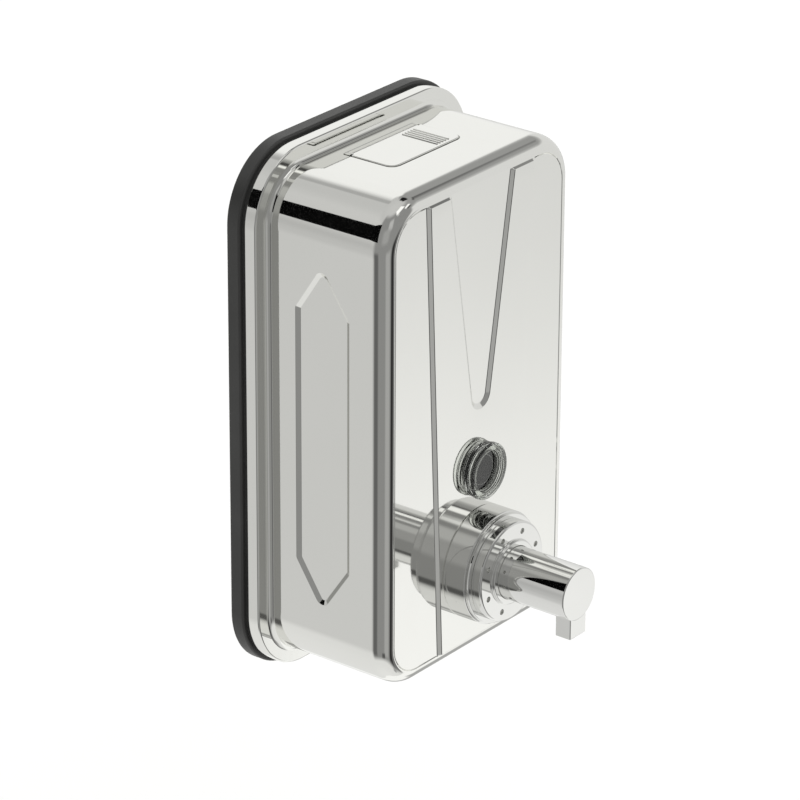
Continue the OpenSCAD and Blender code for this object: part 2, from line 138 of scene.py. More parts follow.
class Skin:
    """Collects patches of points, normals and faces, and makes one smooth mesh of them."""

    def __init__(self):
        self.points, self.normals, self.faces, self.count = [], [], [], 0

    def add(self, points, normals, faces):
        self.faces += [tuple(i + self.count for i in f) for f in faces]
        self.points.append(points)
        self.normals.append(normals)
        self.count += len(points)

    def build(self, name, material, body, slot, *nodes):
        points = np.concatenate(self.points)
        normals = np.concatenate(self.normals)
        faces = []
        for f in self.faces:
            steps = [np.linalg.norm(points[f[i]] - points[f[i - 1]]) for i in range(len(f))]
            ring = [i for i, step in zip(f, steps) if step > SAME_POINT]
            if len(ring) < 3:
                continue
            p = points[ring]
            area = sum(np.cross(p[i] - p[0], p[i + 1] - p[0]) for i in range(1, len(p) - 1))
            if np.linalg.norm(area) < NO_AREA:
                continue
            faces.append(ring if area @ normals[ring].sum(0) > 0 else ring[::-1])
        mesh = bpy.data.meshes.new(name)
        mesh.from_pydata(points.tolist(), [], faces)
        mesh.update()
        mesh.polygons.foreach_set("use_smooth", [True] * len(mesh.polygons))
        mesh.normals_split_custom_set_from_vertices(normals.tolist())
        mesh.materials.append(material)
        piece = bpy.data.objects.new(name, mesh)
        bpy.context.scene.collection.objects.link(piece)
        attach(piece, body)
        if nodes:
            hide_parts(*nodes)
        return piece


def arc(corner, before, after, radius, steps):
    """Points that round a corner between two unit directions, with the tangent at each."""
    turn = math.acos(max(-1, min(1, float(before @ after))))
    if radius <= 0 or turn < 1e-6:
        return [(corner, before), (corner, after)]
    reach = radius * math.tan(turn / 2)
    start = corner - before * reach
    left = np.array([-before[1], before[0]])
    sign = 1 if left @ after > 0 else -1
    centre = start + left * sign * radius
    out = []
    for i in range(steps + 1):
        t = turn * i / steps
        tangent = before * math.cos(t) + left * sign * math.sin(t)
        normal = left * sign * math.cos(t) - before * math.sin(t)
        out.append((centre - normal * radius, tangent))
    return out


def chain(points, radii, side, steps=6):
    """An open profile with rounded corners: rows of offset, depth and the outward normal.

    Side is 1 where the outside lies to the left of the way the profile runs, and -1 to the right.
    """
    p = np.array(points, float)
    ways = [(b - a) / np.linalg.norm(b - a) for a, b in zip(p[:-1], p[1:])]
    rows = [(p[0], ways[0])]
    for i in range(1, len(p) - 1):
        rows += arc(p[i], ways[i - 1], ways[i], radii[i - 1], steps)
    rows.append((p[-1], ways[-1]))
    return [(q[0], q[1], -side * t[1], side * t[0]) for q, t in rows]


def loop(corners, radii, steps=8):
    """A closed outline, counter-clockwise, as points and outward normals."""
    p = np.array(corners, float)
    n = len(p)
    ways = [(p[(i + 1) % n] - p[i]) / np.linalg.norm(p[(i + 1) % n] - p[i]) for i in range(n)]
    rows = []
    for i in range(n):
        rows += arc(p[i], ways[i - 1], ways[i], radii[i], steps)
    return np.array([q for q, t in rows]), np.array([(t[1], -t[0]) for q, t in rows])


def rectangle(x, y, radius, steps=8):
    """A closed outline of a rectangle with round corners, with its normals."""
    return loop([(x[0], y[0]), (x[1], y[0]), (x[1], y[1]), (x[0], y[1])], [radius] * 4, steps)


def circle(radius, centre=(0, 0), steps=48):
    """A closed outline of a circle, with its normals."""
    a = np.arange(steps) * 2 * math.pi / steps
    m = np.stack([np.cos(a), np.sin(a)], 1)
    return m * radius + np.array(centre), m


def sweep(skin, outline, profile, at, keep=None):
    """Carries a profile round an outline. keep(i) says whether the outline's edge i gets faces."""
    p, m = outline
    n, rows = len(p), len(profile)
    points, normals = [], []
    for o, c, no, nc in profile:
        q = p + m * o
        points.append(np.column_stack([q, np.full(n, c)]))
        normals.append(np.column_stack([m * no, np.full(n, nc)]))
    faces = [
        (r * n + i, r * n + (i + 1) % n, (r + 1) * n + (i + 1) % n, (r + 1) * n + i)
        for r in range(rows - 1)
        for i in range(n)
        if keep is None or keep(i)
    ]
    skin.add(at.points(np.concatenate(points)), at.normals(np.concatenate(normals)), faces)


def revolve(skin, profile, at, steps):
    """Turns a profile of radius and height round a frame's third axis."""
    m = circle(1, (0, 0), steps)[1]
    sweep(skin, (m * 0, m), profile, at)


def turned(skin, profile, z, steps=96):
    """Turns a profile of radius and depth round an axis along the depth, at the height z."""
    revolve(skin, profile, facing(0, z), steps)


def inside(points, outline):
    """Whether each point lies inside a closed outline."""
    x, y = points[:, 0], points[:, 1]
    hit = np.zeros(len(points), bool)
    for (x0, y0), (x1, y1) in zip(outline, np.roll(outline, -1, axis=0)):
        if y0 != y1:
            hit ^= ((y0 > y) != (y1 > y)) & (x < (x1 - x0) * (y - y0) / (y1 - y0) + x0)
    return hit


def fill(skin, at, outer, holes=(), lines=(), height=None, level=0.0, flip=1):
    """Fills an outline with triangles that follow the given lines, and lifts them to a height."""
    points, edges = [], []
    rings = [(outer, True)] + [(hole, True) for hole in holes] + [(line, False) for line in lines]
    for ring, closed in rings:
        first = len(points)
        points += [Vector((float(a), float(b))) for a, b in ring]
        last = len(points) - 1
        edges += [(i, i + 1) for i in range(first, last)]
        if closed:
            edges.append((last, first))
    v, _, f, *_ = geometry.delaunay_2d_cdt(points, edges, [], 0, 1e-4)
    p = np.array([(q.x, q.y) for q in v])
    f = np.array([list(t) for t in f])
    mid = p[f].mean(1)
    keep = inside(mid, np.array(outer))
    for hole in holes:
        keep &= ~inside(mid, np.array(hole))
    z = np.full(len(p), level)
    n = np.tile([0.0, 0.0, 1.0], (len(p), 1))
    if height is not None:
        e = 0.01
        z = z + height(p)
        n[:, 0] = -(height(p + [e, 0]) - height(p - [e, 0])) / (2 * e)
        n[:, 1] = -(height(p + [0, e]) - height(p - [0, e])) / (2 * e)
    skin.add(at.points(np.column_stack([p, z])), at.normals(n * flip), [tuple(t) for t in f[keep]])


def pad(skin, outline, at, low, high, edge, steps=4):
    """A raised block with a rounded top edge, from one level to another."""
    past_edge = 1.02
    profile = chain([(0, low), (0, high), (-edge * past_edge, high)], [edge], -1, steps)
    sweep(skin, outline, profile, at)
    p, m = outline
    fill(skin, at, distinct(p - m * edge * past_edge), level=high)


def distinct(points):
    """Drops points that repeat the one before them."""
    keep = np.linalg.norm(points - np.roll(points, 1, axis=0), axis=1) > 1e-5
    return points[keep]


def ramp(t, soft=0.24):
    """A slope from 0 to 1 with rounded ends."""
    t = np.clip(t, 0, 1)
    m = 1 / (1 - soft)
    low = m * t * t / (2 * soft)
    high = 1 - m * (1 - t) ** 2 / (2 * soft)
    return np.where(t < soft, low, np.where(t > 1 - soft, high, m * (t - soft / 2)))


# the parts of a ramp at which its slope is cut into strips
RAMP_LEVELS = (0, 0.08, 0.16, 0.24, 0.5, 0.76, 0.84, 0.92, 1)


def rounded_distance(p, half, radius):
    """Distance inside a centred rounded rectangle."""
    q = np.abs(p) - (np.array(half) - radius)
    return radius - (np.linalg.norm(np.maximum(q, 0), axis=1) + np.minimum(q.max(1), 0))


# ---------------------------------------------------------------- materials
def new_material(name):
    """A new node material, with its tree and its shader."""
    material = bpy.data.materials.new(name)
    material.use_nodes = True
    tree = material.node_tree
    return material, tree, tree.nodes["Principled BSDF"]


def noise(tree, scale, detail=3.0, stretch=(1, 1, 1), roughness=0.5):
    """Object-space noise. The scale is in features per metre."""
    place = tree.nodes.new("ShaderNodeTexCoord")
    size = tree.nodes.new("ShaderNodeMapping")
    size.inputs["Scale"].default_value = stretch
    tree.links.new(place.outputs["Object"], size.inputs["Vector"])
    n = tree.nodes.new("ShaderNodeTexNoise")
    n.inputs["Scale"].default_value = scale
    n.inputs["Detail"].default_value = detail
    n.inputs["Roughness"].default_value = roughness
    tree.links.new(size.outputs["Vector"], n.inputs["Vector"])
    return n.outputs["Fac"]


def spread(tree, value, low, high, lo_in=0.3, hi_in=0.7):
    """Maps a noise value to a range."""
    r = tree.nodes.new("ShaderNodeMapRange")
    r.inputs["From Min"].default_value = lo_in
    r.inputs["From Max"].default_value = hi_in
    r.inputs["To Min"].default_value = low
    r.inputs["To Max"].default_value = high
    tree.links.new(value, r.inputs["Value"])
    return r.outputs["Result"]


def blend_colour(tree, factor, a, b):
    """A colour between two, by a factor."""
    mix = tree.nodes.new("ShaderNodeMix")
    mix.data_type = "RGBA"
    mix.inputs["A"].default_value = (*a, 1)
    mix.inputs["B"].default_value = (*b, 1)
    tree.links.new(factor, mix.inputs["Factor"])
    return mix.outputs["Result"]


def bump(tree, shader, value, strength, distance):
    """Gives a shader a bump from a value."""
    b = tree.nodes.new("ShaderNodeBump")
    b.inputs["Strength"].default_value = strength
    b.inputs["Distance"].default_value = distance
    tree.links.new(value, b.inputs["Height"])
    tree.links.new(b.outputs["Normal"], shader.inputs["Normal"])


def polished_steel():
    """Bright polished stainless sheet: a faint tone change over the sheet and fine polishing haze."""
    material, tree, shader = new_material("case_steel")
    shader.inputs["Metallic"].default_value = 1
    tone = spread(tree, noise(tree, 14, 2), 0, 1)
    colour = blend_colour(tree, tone, (0.895, 0.895, 0.868), (0.875, 0.876, 0.848))
    tree.links.new(colour, shader.inputs["Base Color"])
    haze = spread(tree, noise(tree, 260, 4, (1, 1, 0.25)), 0.035, 0.06)
    tree.links.new(haze, shader.inputs["Roughness"])
    return material


def chrome_plate():
    """Chrome plate on the cast valve parts."""
    material, tree, shader = new_material("chrome_plate")
    shader.inputs["Metallic"].default_value = 1
    tone = spread(tree, noise(tree, 40, 2), 0, 1)
    colour = blend_colour(tree, tone, (0.83, 0.83, 0.815), (0.81, 0.812, 0.796))
    tree.links.new(colour, shader.inputs["Base Color"])
    haze = spread(tree, noise(tree, 420, 3), 0.02, 0.05)
    tree.links.new(haze, shader.inputs["Roughness"])
    return material


def plain_steel():
    """Zinc-plated or bare steel fittings, with drawn scratches."""
    material, tree, shader = new_material("fitting_steel")
    shader.inputs["Metallic"].default_value = 1
    tone = spread(tree, noise(tree, 60, 3), 0, 1)
    colour = blend_colour(tree, tone, (0.66, 0.66, 0.64), (0.55, 0.55, 0.54))
    tree.links.new(colour, shader.inputs["Base Color"])
    grain = noise(tree, 900, 4, (0.15, 1, 1))
    tree.links.new(spread(tree, grain, 0.22, 0.4), shader.inputs["Roughness"])
    bump(tree, shader, grain, 0.12, 0.0002)
    return material


def moulded(name, colour, other, rough, grain_scale, grain, depth=0.0002):
    """Moulded plastic or rubber: a slight tone change and a fine moulded grain."""
    material, tree, shader = new_material(name)
    tone = spread(tree, noise(tree, 35, 3), 0, 1)
    tree.links.new(blend_colour(tree, tone, colour, other), shader.inputs["Base Color"])
    skin = noise(tree, grain_scale, 3)
    tree.links.new(spread(tree, skin, rough - 0.05, rough + 0.05), shader.inputs["Roughness"])
    bump(tree, shader, skin, grain, depth)
    return material


def natural_plastic():
    """Natural polyethylene: milky and slightly translucent."""
    material = moulded("milky_plastic", (0.86, 0.87, 0.84), (0.80, 0.81, 0.77), 0.32, 700, 0.08)
    shader = material.node_tree.nodes["Principled BSDF"]
    shader.inputs["Subsurface Weight"].default_value = 0.15
    shader.inputs["Subsurface Scale"].default_value = 0.003
    shader.inputs["Subsurface Radius"].default_value = (1, 1, 1)
    return material


def clear_plastic():
    """Clear moulded lens plastic, darkened towards the middle of the window as painted shade for the dark
    tank seen through it.
    """
    material, tree, shader = new_material("lens_plastic")
    tone = spread(tree, noise(tree, 120, 2), 0, 1)
    rim = blend_colour(tree, tone, (0.82, 0.84, 0.81), (0.76, 0.78, 0.75))
    place = tree.nodes.new("ShaderNodeTexCoord")
    across = tree.nodes.new("ShaderNodeVectorMath")
    across.operation = "MULTIPLY_ADD"
    across.inputs[1].default_value = (1, 0, 1)
    across.inputs[2].default_value = (0, 0, -LENS_Z * MM)
    radius = tree.nodes.new("ShaderNodeVectorMath")
    radius.operation = "LENGTH"
    tree.links.new(place.outputs["Object"], across.inputs[0])
    tree.links.new(across.outputs["Vector"], radius.inputs[0])
    # painted shade: inside this radius the base colour turns dark, standing in for the dark inside of the
    # tank seen through the lens
    shade_from, shade_to = 0.0081, 0.0087
    painted_shade = spread(tree, radius.outputs["Value"], 1, 0, shade_from, shade_to)
    mix = tree.nodes.new("ShaderNodeMix")
    mix.data_type = "RGBA"
    mix.inputs["B"].default_value = (0.10, 0.105, 0.095, 1)
    tree.links.new(painted_shade, mix.inputs["Factor"])
    tree.links.new(rim, mix.inputs["A"])
    tree.links.new(mix.outputs["Result"], shader.inputs["Base Color"])
    tree.links.new(spread(tree, noise(tree, 500, 3), 0.01, 0.035), shader.inputs["Roughness"])
    shader.inputs["Transmission Weight"].default_value = 0.98
    shader.inputs["IOR"].default_value = 1.56
    return material


def pale_floor():
    """Matt, nearly white, with the faintest change of tone."""
    material, tree, shader = new_material("floor")
    tone = spread(tree, noise(tree, 3, 2), 0, 1)
    colour = blend_colour(tree, tone, (0.93, 0.93, 0.925), (0.925, 0.925, 0.92))
    tree.links.new(colour, shader.inputs["Base Color"])
    shader.inputs["Roughness"].default_value = 1
    shader.inputs["Specular IOR Level"].default_value = 0
    return material


# ---------------------------------------------------------------- case
# half widths of the fork at its top, middle and foot, and of the tongue at its top and foot
FORK_TOP, FORK_MIDDLE, FORK_FOOT = 33.9, 29.2, 24.6
TONGUE_TOP, TONGUE_FOOT, TIP_R = 19.8, 6.2, 5.3

# heights where those widths are measured, and where the fork's ends begin to slope down
TOP_Z, TONGUE_Z, FOOT_Z = 97.1, 13.6, -99.4
FORK_Z = (-98.1, 97.7)

FORK_LEAN = (FORK_TOP - FORK_FOOT) / (TOP_Z - FOOT_Z)
TONGUE_LEAN = (TONGUE_TOP - TONGUE_FOOT) / (TOP_Z - TONGUE_Z)
TIP_Z = TONGUE_Z + (TIP_R * math.hypot(1, TONGUE_LEAN) - TONGUE_FOOT) / TONGUE_LEAN

# widths of the relief's slopes, along its sides and at its ends
SLOPE, END_SLOPE = 2.2, 1.0

# the fine crease: half its width, its distance from the case's edge, its corners and its depth
CREASE_HALF, CREASE_IN, CREASE_R, CREASE_DEPTH = 0.28, 6.5, 14.5, 0.45

# how far the cutting lines reach from the middle of the front
CUT_X, CUT_Z = 35.5, 98

# the long six-sided emboss on the sides: its corners' depths and heights, and its slope
EMBOSS_D, EMBOSS_Z = (28.7, 39.9, 51.6), (53.2, 70.2)
EMBOSS_SINK, EMBOSS_SLOPE, EMBOSS_EDGE = 1.1, 1.9, 0.5

CASE = rectangle((-HALF_W, HALF_W), (-HALF_H, HALF_H), CORNER_R, CORNER_STEPS)


def straight(i):
    """Which straight edge of the case's outline edge i is: bottom, right, top or left, or None."""
    per = CORNER_STEPS + 1
    if i % per != per - 1:
        return None
    return ("bottom", "right", "top", "left")[i // per]


def front_height(p):
    """Relief of the front: a raised fork with a sunken tongue, and a fine crease on the two wings."""
    x, z = np.abs(p[:, 0]), p[:, 1]
    fork = (FORK_MIDDLE + FORK_LEAN * z - x) / math.hypot(1, FORK_LEAN)
    ends = ramp((FORK_Z[1] - z) / END_SLOPE) * ramp((z - FORK_Z[0]) / END_SLOPE)
    on_fork = ramp((fork + SLOPE / 2) / SLOPE) * ends
    on_tongue = ramp((tongue_distance(p) + SLOPE / 2) / SLOPE)
    border = rounded_distance(p, (HALF_W - CREASE_IN, HALF_H - CREASE_IN), CREASE_R)
    crease = CREASE_DEPTH * np.clip(1 - np.abs(border) / CREASE_HALF, 0, 1) * (fork < -SLOPE / 2)
    return FORK_RISE * on_fork * (1 - on_tongue) - crease


def tongue_distance(p):
    """Distance inside the tongue: a wedge that narrows downwards to a round tip."""
    x, z = np.abs(p[:, 0]), p[:, 1]
    edge = (TONGUE_FOOT + TONGUE_LEAN * (z - TONGUE_Z) - x) / math.hypot(1, TONGUE_LEAN)
    tip = TIP_R - np.hypot(x, z - TIP_Z)
    beside_wedge = (z - TIP_Z) + TONGUE_LEAN * x > 0
    return np.where(beside_wedge, edge, tip)


def tongue_line(inset):
    """The tongue's outline moved inwards: down one side, round the tip and up the other."""
    r = TIP_R - inset
    lean = math.atan(TONGUE_LEAN)
    tip = [(r * math.cos(a), TIP_Z + r * math.sin(a)) for a in np.linspace(-lean, lean - math.pi, 25)]
    shift = inset * math.hypot(1, TONGUE_LEAN)
    heights = np.linspace(CUT_Z + 0.2, tip[0][1] + 3, 16)
    side = [(TONGUE_FOOT + TONGUE_LEAN * (z - TONGUE_Z) - shift, z) for z in heights]
    return np.array(side + tip + [(-x, z) for x, z in side[::-1]])


def offset_lines():
    """The lines along which the front's slopes are cut into strips."""
    lines = []
    for t in RAMP_LEVELS:
        for z in (FORK_Z[1] - END_SLOPE * t, FORK_Z[0] + END_SLOPE * t):
            lines.append(np.array([(-CUT_X, z), (CUT_X, z)]))
        inset = SLOPE * t - SLOPE / 2
        shift = inset * math.hypot(1, FORK_LEAN)
        for s in (-1, 1):
            heights = np.linspace(CUT_Z, -CUT_Z, 30)
            lines.append(np.array([(s * (FORK_MIDDLE + FORK_LEAN * z - shift), z) for z in heights]))
        lines.append(tongue_line(inset))
    near, far = 0.02, 0.03
    for k in (-CREASE_HALF - far, far - CREASE_HALF, -near, near, CREASE_HALF - far, CREASE_HALF + far):
        inset = CREASE_IN + k
        ring = rectangle((inset - HALF_W, HALF_W - inset), (inset - HALF_H, HALF_H - inset),
                         CREASE_R - k, 14)[0]
        lines.append(np.vstack([ring, ring[:1]]))
    return lines


def emboss_outline():
    """Floor outline of the long six-sided emboss, with blunt ends, in depth and height."""
    d, z = EMBOSS_D, EMBOSS_Z
    side, end = 0.8, 1.6
    corners = [(d[0], -z[0]), (d[1], -z[1]), (d[2], -z[0]), (d[2], z[0]), (d[1], z[1]), (d[0], z[0])]
    return loop(corners, [side, end, side, side, end, side], 8)


def flange(skin):
    """Rimmed flange, with the round foot where it joins the walls, and the walls' first stretch."""
    inner, turned_in = FLANGE_W - SHEET, 10.2
    rim = [(inner, turned_in), (inner, FLANGE_BACK), (FLANGE_W, FLANGE_BACK),
           (FLANGE_W, FLANGE_D), (FLANGE_W - RIM_EDGE, FLANGE_D)]
    sweep(skin, CASE, chain(rim, [0.3, 0.45, 0.82], -1), FACING)
    flat = [(FLANGE_W - RIM_EDGE, FLANGE_D, 0, 1), (FLANGE_FOOT, FLANGE_D, 0, 1)]
    sweep(skin, CASE, flat, FACING)
    joint = [(FLANGE_FOOT + 0.01, FLANGE_D), (0, FLANGE_D), (0, WALL_D + 0.01)]
    sweep(skin, CASE, chain(joint, [FLANGE_FOOT], -1, 12), FACING)


def front_roll(skin):
    """The rolled front edge, a quarter of an ellipse."""
    roll = []
    for t in np.radians(np.linspace(0, 90, 19)):
        c, u = math.cos(t), math.sin(t)
        long = math.hypot(c / ROLL_ACROSS, u / ROLL_ALONG)
        roll.append((ROLL_ACROSS * (c - 1), FLAT_D + ROLL_ALONG * (u - 1),
                     c / ROLL_ACROSS / long, u / ROLL_ALONG / long))
    sweep(skin, CASE, roll, FACING)


def side_wall(skin, side, span):
    """A side with its emboss."""
    at = Frame((side * HALF_W, 0, 0), (0, -1, 0), (0, 0, 1), (side, 0, 0))
    wall = [(WALL_D, -span), (ROLL_D, -span), (ROLL_D, span), (WALL_D, span)]
    outline = emboss_outline()
    reach = EMBOSS_SLOPE + EMBOSS_EDGE
    slope = [(-EMBOSS_EDGE, -EMBOSS_SINK), (0, -EMBOSS_SINK), (EMBOSS_SLOPE, 0), (reach, 0)]
    sweep(skin, outline, chain(slope, [EMBOSS_EDGE, EMBOSS_EDGE], 1, 5), at)
    fill(skin, at, wall, [distinct(outline[0] + outline[1] * reach)])
    fill(skin, at, distinct(outline[0] - outline[1] * EMBOSS_EDGE), level=-EMBOSS_SINK)


def top_wall(skin, span):
    """The top with the lid's opening, whose edge is turned down."""
    at = from_above(z=HALF_H)
    gap, rear, edge = 0.35, 20.3, 0.3
    x, front = (LID_X[0] - gap, LID_X[1] + gap), LID_D[1] + gap
    opening = loop([(x[0], rear), (x[1], rear), (x[1], front), (x[0], front)], [0.8, 0.8, 4.2, 4.2], 8)
    wall = [(-span, WALL_D), (span, WALL_D), (span, ROLL_D), (-span, ROLL_D)]
    fill(skin, at, wall, [distinct(opening[0] + opening[1] * edge)])
    sweep(skin, opening, chain([(edge, 0), (0, 0), (0, -SHEET)], [edge - 0.01], 1, 4), at)


def case_shell(material):
    """Drawn case: rimmed flange, walls with an emboss on each side, rolled edge and front relief."""
    skin = Skin()
    flange(skin)
    wall = [(0, WALL_D, 1, 0), (0, ROLL_D, 1, 0)]
    sweep(skin, CASE, wall, FACING, lambda i: straight(i) in (None, "bottom"))
    front_roll(skin)
    outer = distinct(CASE[0] - CASE[1] * ROLL_ACROSS)
    valve_hole, window_hole = 13.1, 8.5
    holes = [circle(valve_hole, (0, VALVE_Z))[0], circle(window_hole, (0, LENS_Z))[0]]
    fill(skin, FACING, outer, holes, offset_lines(), front_height, FLAT_D)
    for side in (-1, 1):
        side_wall(skin, side, HALF_H - CORNER_R)
    top_wall(skin, HALF_W - CORNER_R)
    # the inner face is seen when the lid is up
    step = 4
    inner = [(-SHEET, 12), (-SHEET, FLAT_D - SHEET - step), (-SHEET - step, FLAT_D - SHEET)]
    sweep(skin, CASE, chain(inner, [0], 1), FACING, lambda i: straight(i) != "top")
    return skin.build("case_shell", material, "root", "case_steel", "front_shell")


def filler_lid(material):
    """Lid plate with notched rear corners, round front corners, a hinge barrel, a lip and grip ribs."""
    skin = Skin()
    rib_rise, thick = 0.4, 1.4
    top = LID_Z[1] - rib_rise
    x, front, rear, hinge = LID_X[1], LID_D[1], 21.0, 22.3
    notch_x, notch_d = 20.5, 24.2
    outline = loop(
        [(-notch_x, rear), (notch_x, rear), (notch_x, notch_d), (x, notch_d), (x, front), (-x, front),
         (-x, notch_d), (-notch_x, notch_d)],
        [0.2, 0.2, 0.2, 0.5, 4, 4, 0.5, 0.2], 8)
    at = from_above()
    pad(skin, outline, at, top - thick, top, 0.35)
    fill(skin, at, distinct(outline[0]), level=top - thick, flip=-1)
    first, pitch, rib_w = 7.9, 1.8, 0.9
    for i in range(5):
        left = first + pitch * i
        rib = rectangle((left, left + rib_w), (front - 19.4, front - 1.8), 0.44, 6)
        pad(skin, rib, at, top - 0.05, top + rib_rise, 0.3)
    barrel = Frame((0, -hinge, top - 1.5), (0, 1, 0), (0, 0, 1), (1, 0, 0))
    half, bore, tube_r = 20.4, 0.96, 1.5
    tube = [(bore, -half), (tube_r, -half), (tube_r, half), (bore, half)]
    revolve(skin, chain(tube, [0.25, 0.25], -1, 4), barrel, 32)
    lip = rectangle((-17, 17), (front - 1.6, front - 0.8), 0.3, 3)
    pad(skin, lip, from_above(down=True), thick - top, 4.0 - top, 0.2)
    return skin.build("lid_plate", material, "lid", "case_steel", "filler_lid")


def wall_plate(material):
    """Moulded plate: rounded outer edge, a recessed step, the pocket behind the case and the screw holes."""
    skin = Skin()
    plate = rectangle(PLATE_X, PLATE_Z, CORNER_R + PLATE_X[1] - HALF_W, CORNER_STEPS)
    front, step_d, step, edge, floor_d = PLATE_D[1], 6.2, 2.2, 1.0, 3.2
    pocket_in = PLATE_X[1] - HALF_W - 1
    rim = [(-edge, 0), (0, 0), (0, step_d), (-step, step_d), (-step, front), (-pocket_in, front),
           (-pocket_in, floor_d)]
    sweep(skin, plate, chain(rim, [0.7, 0.9, 0.15, 0.3, 0.2], -1, 5), FACING)
    hole_r, head_r, boss_r = 2.6, 5, 8
    screws = [(40 * s, 75 * u) for s in (-1, 1) for u in (-1, 1)]
    holes = [distinct(circle(hole_r, c, 32)[0]) for c in screws]
    bosses = [distinct(circle(boss_r, c, 48)[0]) for c in screws]
    fill(skin, FACING, distinct(plate[0] - plate[1] * edge), holes, level=0, flip=-1)
    fill(skin, FACING, distinct(plate[0] - plate[1] * pocket_in), bosses, level=floor_d)
    seat = front - 2.2
    boss = [(boss_r, floor_d), (boss_r, front), (head_r, front), (head_r, seat), (hole_r, seat), (hole_r, 0)]
    for x, z in screws:
        revolve(skin, chain(boss, [0.4, 0.2, 0, 0.2], -1, 4), facing(x, z), 48)
    carrier = rectangle((-42, 42), (46, 68), 1.5, 5)
    pad(skin, carrier, FACING, floor_d, front, 0.3)
    return skin.build("wall_plate_moulding", material, "root", "black_plastic", "wall_plate")


# ---------------------------------------------------------------- window and valve
def window(material):
    """Clear lens with a stepped rim, a dished face and a tube that goes into the tank."""
    skin = Skin()
    back, face, d = WINDOW_D[0], WINDOW_D[1], FRONT_D
    r, tube_r, bore_r = WINDOW_X[1], 8.2, 6.4
    dish, core = face - 2.7, face - 4.2
    outer = [(tube_r, back), (tube_r, d + 0.1), (r - 0.7, d + 0.1), (r - 0.4, d + 0.7),
             (r - 0.5, d + 1.9), (r - 1.1, d + 2.3), (r, d + 2.8), (r - 0.1, face - 0.6), (r - 0.9, face),
             (8.9, face), (8.5, dish), (0, dish)]
    radii = [0.1, 0.3, 0.4, 0.3, 0.3, 0.3, 0.5, 0.35, 0.35, 0.3]
    turned(skin, chain(outer, radii, -1, 4), LENS_Z)
    bore = [(tube_r, back), (bore_r, back), (bore_r, core), (0, core)]
    turned(skin, chain(bore, [0.3, 0.5], 1, 4), LENS_Z)
    return skin.build("level_window", material, "root", "lens_plastic", "window_lens")


def collar(material):
    """Spacer ring of the valve, with a soft bevel at its front."""
    skin = Skin()
    d, r, bore = COLLAR_D, COLLAR_X[1], 12.9
    outer = [(bore, d[0]), (r - 0.2, d[0]), (r, d[0] + 0.4), (r, d[1] - 0.2), (r - 0.9, d[1]),
             (bore, d[1])]
    turned(skin, chain(outer, [0.1, 0.3, 0.35, 0.3], -1, 4), VALVE_Z, 128)
    turned(skin, [(bore, d[0], -1, 0), (bore, d[1], -1, 0)], VALVE_Z, 96)
    return skin.build("collar_ring", material, "root", "chromed", "collar")


def bead(material):
    """Thin bright ring at the collar's front edge."""
    skin = Skin()
    x, d, _ = mm_box("bead_ring")
    r, bore = x[1], 13.8
    outer = [(bore, d[0]), (r - 0.1, d[0]), (r, d[0] + 0.7), (r - 0.1, d[1]), (bore, d[1])]
    turned(skin, chain(outer, [0.3, 0.35, 0.3], -1, 5), VALVE_Z, 128)
    return skin.build("bead", material, "root", "chromed", "bead_ring")


def cap(material):
    """Face cap: rounded rim, eight pin-wrench holes and the hub round the nozzle."""
    skin = Skin()
    r, edge, back, face = CAP_X[1], 1.6, CAP_D[0], 88.6
    rim = [(12.9, back), (r, back), (r, face), (r - edge, face)]
    turned(skin, chain(rim, [0.3, 0.9], -1, 6), VALVE_Z, 128)
    ring_r, pin_r, well_r, well = 16.8, 1.3, 1.15, face - 2
    pins = [(ring_r * math.cos(a), ring_r * math.sin(a)) for a in (np.arange(8) + 0.5) * math.pi / 4]
    hub_foot, hub_r, bore = 13.9, 13.4, 11.1
    holes = [circle(hub_foot, (0, 0), 96)[0]] + [circle(pin_r, c, 24)[0] for c in pins]
    fill(skin, facing(0, VALVE_Z), circle(r - edge, (0, 0), 128)[0], holes, level=face)
    hole = chain([(pin_r, face), (well_r, face), (well_r, well), (0, well)], [0.14, 0.2], 1, 3)
    for x, z in pins:
        revolve(skin, hole, facing(x, VALVE_Z + z), 24)
    hub = [(hub_foot, face), (hub_r, face), (hub_r, CAP_D[1]), (bore, CAP_D[1]), (bore, back)]
    turned(skin, chain(hub, [0.4, 0.5, 0.3], -1, 5), VALVE_Z, 96)
    return skin.build("cap_face", material, "root", "chromed", "face_cap")


def nozzle(material):
    """Push button and nozzle in one casting, with a square spout under its end."""
    skin = Skin()
    r, (back, end) = NOZZLE_X[1], NOZZLE_D
    socket_r, socket_d = 4.6, 99
    turned(skin, chain([(socket_r, back), (r, back), (r, end), (0, end)], [0.3, 0.45], -1, 6), VALVE_Z, 128)
    turned(skin, [(socket_r, back, -1, 0), (socket_r, socket_d, -1, 0)], VALVE_Z, 48)
    at = from_above(0, VALVE_Z, down=True)
    spout = rectangle((-5.2, 5.2), (end - 7.4, end - 0.2), 0.35, 4)
    reach, edge = VALVE_Z - NOZZLE_Z[0], 0.3
    sweep(skin, spout, chain([(0, 7), (0, reach), (-edge, reach)], [edge * 0.98], -1, 4), at)
    mouth_r, mouth_d = 2.2, end - 3.7
    fill(skin, at, distinct(spout[0] - spout[1] * edge), [circle(mouth_r, (0, mouth_d), 32)[0]], level=reach)
    channel = [(mouth_r, reach, -1, 0), (mouth_r, 8, -1, 0)]
    revolve(skin, channel, from_above(mouth_d, VALVE_Z, down=True), 32)
    return skin.build("nozzle_casting", material, "plunger", "chromed", "nozzle")


# ---------------------------------------------------------------- studio
# elevation in degrees and brightness
STUDIO_BASE = (
    (-89, 0.85), (-52, 0.80), (-38, 0.78), (-24, 0.62), (-12, 0.55), (0, 0.5), (12, 0.58), (45, 0.62),
    (56, 0.56), (89, 0.6),
)

